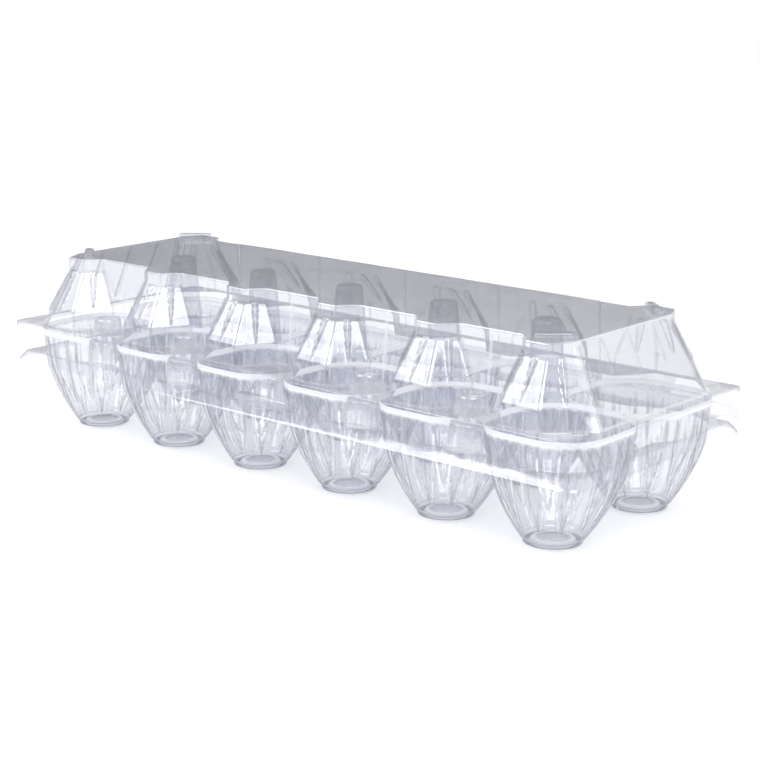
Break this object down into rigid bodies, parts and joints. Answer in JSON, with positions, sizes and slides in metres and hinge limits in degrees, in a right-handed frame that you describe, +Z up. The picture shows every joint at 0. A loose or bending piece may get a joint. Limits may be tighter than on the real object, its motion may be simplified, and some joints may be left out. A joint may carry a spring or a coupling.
{
  "type": "egg carton",
  "caption": "Clear clamshell egg carton: a two-row tray of egg cups under a hinged lid with hooded cells, closed on a living hinge.",
  "frame": {"origin": "on the floor, under the middle of the closed carton's footprint", "axes": "+X along the row of cells, -Y is the front with the catch, +Z is up"},
  "size_m": [0.302, 0.1082, 0.0766],
  "materials": {
    "clear_sheet": "clear thermoformed sheet, glossy"
  },
  "bodies": {
    "tray": {"cup_front_1": "clear_sheet", "cup_back_1": "clear_sheet", "cup_front_2": "clear_sheet", "cup_back_2": "clear_sheet", "cup_front_3": "clear_sheet", "cup_back_3": "clear_sheet", "cup_front_4": "clear_sheet", "cup_back_4": "clear_sheet", "cup_front_5": "clear_sheet", "cup_back_5": "clear_sheet", "cup_front_6": "clear_sheet", "cup_back_6": "clear_sheet", "centre_post_1": "clear_sheet", "centre_post_2": "clear_sheet", "centre_post_3": "clear_sheet", "centre_post_4": "clear_sheet", "centre_post_5": "clear_sheet", "tray_rim_front": "clear_sheet", "tray_rim_left": "clear_sheet", "tray_rim_right": "clear_sheet", "tray_rim_back": "clear_sheet", "catch_tab": "clear_sheet", "hinge_web_lower": "clear_sheet", "lock_button_1": "clear_sheet", "lock_button_2": "clear_sheet", "lock_button_3": "clear_sheet", "lock_button_4": "clear_sheet"},
    "lid": {"lid_top": "clear_sheet", "hood_front_1": "clear_sheet", "hood_back_1": "clear_sheet", "hood_front_2": "clear_sheet", "hood_back_2": "clear_sheet", "hood_front_3": "clear_sheet", "hood_back_3": "clear_sheet", "hood_front_4": "clear_sheet", "hood_back_4": "clear_sheet", "hood_front_5": "clear_sheet", "hood_back_5": "clear_sheet", "hood_front_6": "clear_sheet", "hood_back_6": "clear_sheet", "end_panel_left": "clear_sheet", "end_panel_right": "clear_sheet", "lid_flange_front": "clear_sheet", "lid_flange_back": "clear_sheet", "lid_flange_left": "clear_sheet", "lid_flange_right": "clear_sheet", "hinge_web_upper": "clear_sheet", "stacking_lug_1": "clear_sheet", "stacking_lug_2": "clear_sheet", "stacking_lug_3": "clear_sheet", "stacking_lug_4": "clear_sheet", "lid_button_1": "clear_sheet", "lid_button_2": "clear_sheet", "lid_button_3": "clear_sheet", "lid_button_4": "clear_sheet"}
  },
  "joints": [
    {"name": "lid_hinge", "type": "hinge", "parent": "tray", "child": "lid", "pos_m": [0, 0.0545, 0.0387], "axis": [-1, 0, 0], "range_deg": [0, 180]}
  ]
}
